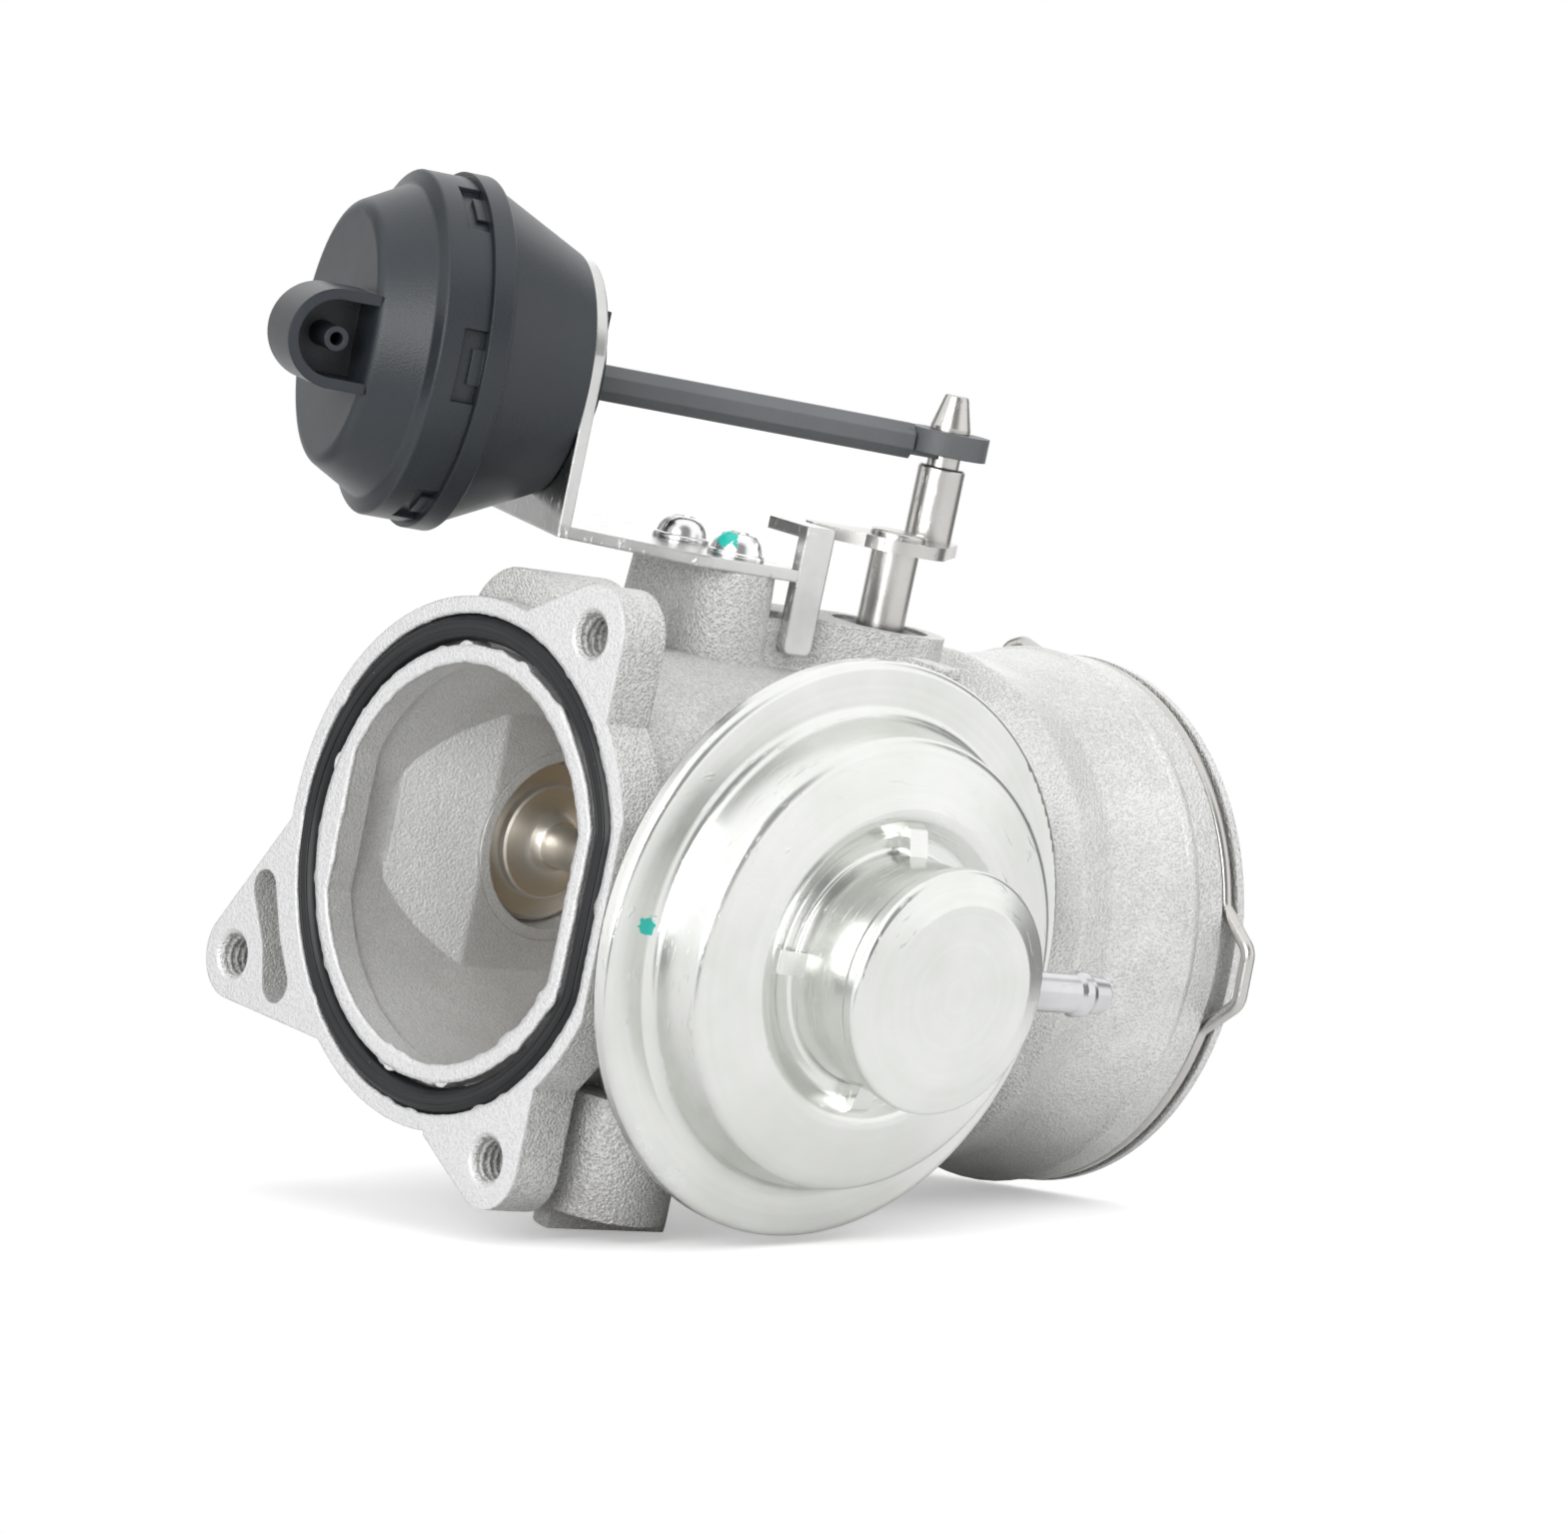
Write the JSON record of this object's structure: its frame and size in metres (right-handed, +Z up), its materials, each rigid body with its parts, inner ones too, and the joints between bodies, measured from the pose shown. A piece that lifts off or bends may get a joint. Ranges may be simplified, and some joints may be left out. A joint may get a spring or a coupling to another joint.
{
  "type": "egr valve",
  "caption": "Cast gas body with a vacuum-lifted poppet valve and a crank-driven throttle flap, for bolting between charge air hose and inlet manifold.",
  "frame": {"origin": "centre of the manifold opening on the flange face", "axes": "+X along the gas passage from the manifold flange to the hose socket, the vacuum can faces -Y, +Z up along the flap shaft"},
  "size_m": [0.1228, 0.1084, 0.119],
  "materials": {
    "cast_aluminium": "sand cast, matt",
    "black_rubber": "satin",
    "spring_wire": "drawn wire",
    "seat_steel": "turned",
    "bronze": "sintered",
    "plain_steel": "satin",
    "zinc_plate": "zinc plated",
    "screw_steel": "bright plated",
    "bright_tube": "bright plated",
    "flap_brass": "stamped",
    "black_plastic": "glass filled, satin",
    "bracket_steel": "zinc plated sheet"
  },
  "bodies": {
    "gas_body": {"housing_casting": "cast_aluminium", "manifold_o_ring": "black_rubber", "socket_clip": "spring_wire", "egr_valve_seat": "seat_steel", "stem_guide_bush": "bronze", "stem_soot_shield": "plain_steel", "can_gasket": "black_rubber", "can_base_pan": "zinc_plate", "can_base_screws": "screw_steel", "can_diaphragm": "black_rubber", "return_spring": "spring_wire", "spring_seat_cup": "plain_steel", "can_cover": "zinc_plate", "can_nipple": "bright_tube", "shaft_upper_bush": "bronze", "shaft_lower_bush": "bronze", "shaft_seal": "black_rubber", "shaft_end_plug": "plain_steel", "actuator_cover": "black_plastic", "actuator_body": "black_plastic", "actuator_diaphragm": "black_rubber", "actuator_spring": "spring_wire", "actuator_retainer": "black_plastic", "actuator_bracket": "bracket_steel", "bracket_screws": "screw_steel"},
    "valve": {"valve_poppet": "seat_steel", "valve_stem": "seat_steel", "diaphragm_rear_plate": "plain_steel", "diaphragm_front_plate": "plain_steel"},
    "flap": {"flap_shaft": "plain_steel", "flap_plate": "flap_brass", "flap_screws": "screw_steel", "crank_lever": "plain_steel", "crank_pin": "plain_steel"},
    "rod": {"actuator_rod": "black_plastic", "actuator_piston": "black_plastic"}
  },
  "joints": [
    {"name": "valve_lift", "type": "slide", "parent": "gas_body", "child": "valve", "axis": [0, -1, 0], "range_m": [0, 0.007], "deforming": ["can_diaphragm", "return_spring"]},
    {"name": "flap_turn", "type": "hinge", "parent": "gas_body", "child": "flap", "pos_m": [0.06, 0, 0], "axis": [0, 0, 1], "range_deg": [0, 88]},
    {"name": "rod_pivot", "type": "hinge", "parent": "flap", "child": "rod", "pos_m": [0.06857, 0.00409, 0.0585], "axis": [0, 0, 1], "range_deg": [-88, 0], "deforming": ["actuator_diaphragm", "actuator_spring"]}
  ],
  "couplings": [
    {"joint": "rod_pivot", "follows": "flap_turn", "ratio": -1}
  ]
}
